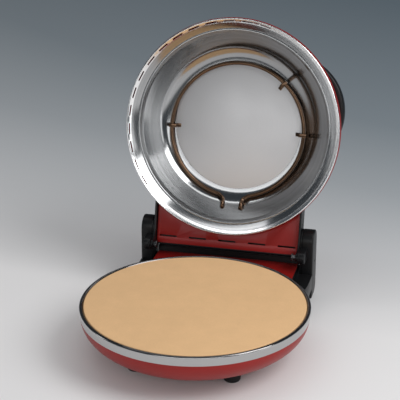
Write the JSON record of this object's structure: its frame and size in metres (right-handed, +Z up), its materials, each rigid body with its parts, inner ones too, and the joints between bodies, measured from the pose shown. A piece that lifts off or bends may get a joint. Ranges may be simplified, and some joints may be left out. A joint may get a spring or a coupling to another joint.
{
  "type": "electric pizza maker",
  "caption": "Countertop pizza oven: a round base with a lift-out baking stone and a domed, heated lid hinged at the back, shown open.",
  "frame": {"origin": "on the table plane under the feet, on the vertical axis of the baking stone", "axes": "+Z up, +Y towards the hinge, +X to the right seen from the front"},
  "size_m": [0.352, 0.5797, 0.4443],
  "materials": {
    "red_paint": "satin gloss",
    "chrome": "polished",
    "reflector_steel": "polished",
    "brushed_floor": "fine matte",
    "element_metal": "heat tinted",
    "black_plastic": "fine texture",
    "black_gloss": "gloss",
    "stone": "matte fired clay",
    "rubber": "matte",
    "steel": "zinc plated",
    "insulation": "matted fibre",
    "ceramic": "glazed",
    "switch_body": "moulded",
    "lamp": "clear amber"
  },
  "bodies": {
    "base": {"base_bowl": "red_paint", "base_rim": "chrome", "heater_pan": "reflector_steel", "lower_insulation": "insulation", "lower_element": "element_metal", "lower_element_clips": "steel", "lower_bushes": "ceramic", "bottom_plate": "steel", "bottom_screws": "steel", "front_feet": "rubber", "rear_feet": "rubber", "rear_moulding": "black_plastic", "rear_bottom_plate": "black_plastic", "rear_cover": "black_plastic", "hinge_shelf": "red_paint", "rear_seal": "rubber", "hinge_housing_left": "black_plastic", "hinge_housing_right": "black_plastic", "hinge_cover_left": "black_plastic", "hinge_cover_right": "black_plastic", "hinge_pins": "steel", "lid_stops": "rubber", "terminal_block": "ceramic", "power_inlet": "black_plastic"},
    "stone": {"pizza_stone": "stone"},
    "lid": {"lid_dome": "red_paint", "lid_rim": "chrome", "vent_liner": "red_paint", "lid_insulation": "insulation", "lid_reflector": "reflector_steel", "reflector_floor": "brushed_floor", "upper_element": "element_metal", "upper_element_clips": "steel", "upper_bushes": "steel", "hinge_plate": "red_paint", "hinge_back_cover": "black_plastic", "hinge_bracket_left": "black_plastic", "hinge_bracket_right": "black_plastic", "bracket_screws": "steel", "control_pod": "black_gloss", "pilot_lamp": "lamp", "thermostat": "switch_body", "timer": "switch_body", "front_handle": "black_plastic"},
    "thermostat_knob": {"thermostat_knob": "black_gloss"},
    "timer_knob": {"timer_knob": "black_gloss"}
  },
  "joints": [
    {"name": "lid_hinge", "type": "hinge", "parent": "base", "child": "lid", "pos_m": [0, 0.1998, 0.0818], "axis": [1, 0, 0], "range_deg": [0, 104.4]},
    {"name": "stone_lift", "type": "slide", "parent": "base", "child": "stone", "axis": [0, 0, 1], "range_m": [0, 0.4]},
    {"name": "thermostat_turn", "type": "hinge", "parent": "lid", "child": "thermostat_knob", "pos_m": [0.12707, 0.37362, 0.31768], "axis": [0, 0.9686, -0.2487], "range_deg": [-270, 0]},
    {"name": "timer_turn", "type": "hinge", "parent": "lid", "child": "timer_knob", "pos_m": [0.14355, 0.36236, 0.27381], "axis": [0, 0.9686, -0.2487], "range_deg": [-300, 0]}
  ]
}
